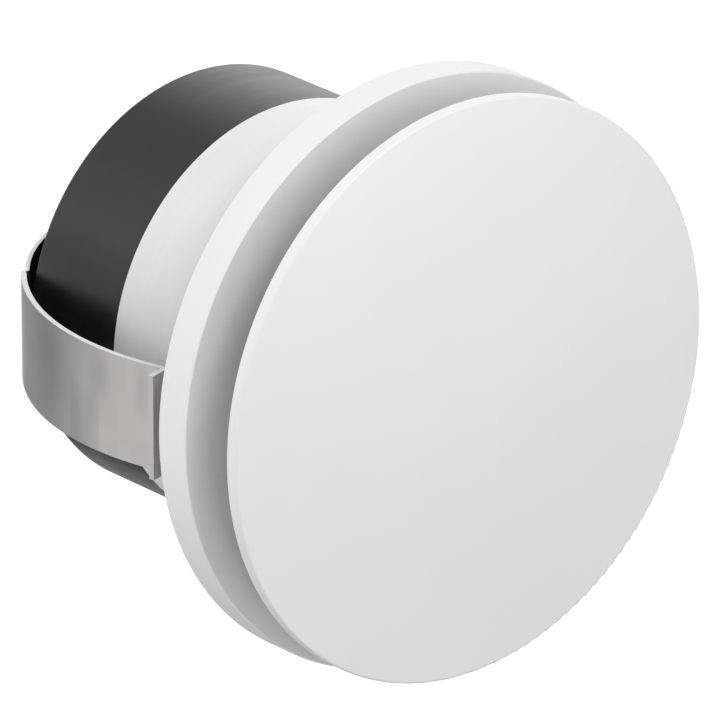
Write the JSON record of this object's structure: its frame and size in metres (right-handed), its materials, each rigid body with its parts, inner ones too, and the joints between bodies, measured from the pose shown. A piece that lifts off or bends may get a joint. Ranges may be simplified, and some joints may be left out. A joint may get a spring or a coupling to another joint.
{
  "type": "concealed fire sprinkler head",
  "caption": "Round concealed sprinkler head: flat cover plate, trim ring, two-part cylindrical body and a spring strap that clamps it in a wall or ceiling hole.",
  "frame": {"origin": "centre of the trim ring's rear face, on the device axis, in the plane of the wall or ceiling surface", "axes": "+Y along the water way into the wall, -Y towards the room, +Z up, +X to the right seen from the room; on a ceiling +Y points up"},
  "size_m": [0.0902, 0.0801, 0.0902],
  "materials": {
    "white_plate": "matte white powder coat",
    "white_ring": "matte white powder coat",
    "white_collar": "satin white moulded",
    "black_cup": "satin black moulded",
    "spring_steel": "rolled stainless strip",
    "steel_fastener": "zinc plated",
    "black_iron": "blackened iron",
    "black_nut": "black oxide",
    "brass": "machined brass",
    "retainer_metal": "drawn sheet steel, zinc plated",
    "copper_spring": "rolled phosphor bronze strip",
    "solder": "low-melting solder",
    "gasket_foam": "closed-cell foam",
    "seal_coating": "fluoropolymer coating",
    "bulb_glass": "clear glass",
    "bulb_liquid": "red liquid"
  },
  "bodies": {
    "housing": {"trim_ring": "white_ring", "wall_gasket": "gasket_foam", "collar_sleeve": "white_collar", "rear_cup": "black_cup", "cup_screws": "steel_fastener", "inlet_coupling": "black_iron", "lock_nuts": "black_nut", "lock_washers": "black_nut", "sprinkler_frame": "brass", "spring_seal": "seal_coating", "seal_button": "brass", "glass_bulb": "bulb_glass", "bulb_fluid": "bulb_liquid", "load_screw": "brass", "cover_retainer": "retainer_metal", "ejection_springs": "copper_spring", "strap_bow": "spring_steel"},
    "cover": {"cover_plate": "white_plate", "solder_pads": "solder"},
    "drop_deflector": {"deflector": "brass", "guide_pins": "steel_fastener"},
    "arm_left": {"spring_arm_left": "spring_steel"},
    "arm_right": {"spring_arm_right": "spring_steel"}
  },
  "joints": [
    {"name": "cover_release", "type": "slide", "parent": "housing", "child": "cover", "axis": [0, -1, 0], "range_m": [0, 0.04]},
    {"name": "deflector_drop", "type": "slide", "parent": "housing", "child": "drop_deflector", "axis": [0, -1, 0], "range_m": [0, 0.016]},
    {"name": "arm_left_flex", "type": "hinge", "parent": "housing", "child": "arm_left", "pos_m": [-0.0319, 0.0468, 0], "axis": [0, 0, 1], "range_deg": [0, 10]},
    {"name": "arm_right_flex", "type": "hinge", "parent": "housing", "child": "arm_right", "pos_m": [0.0319, 0.0468, 0], "axis": [0, 0, -1], "range_deg": [0, 10]}
  ],
  "couplings": [
    {"joint": "deflector_drop", "follows": "cover_release", "ratio": 0.4}
  ]
}
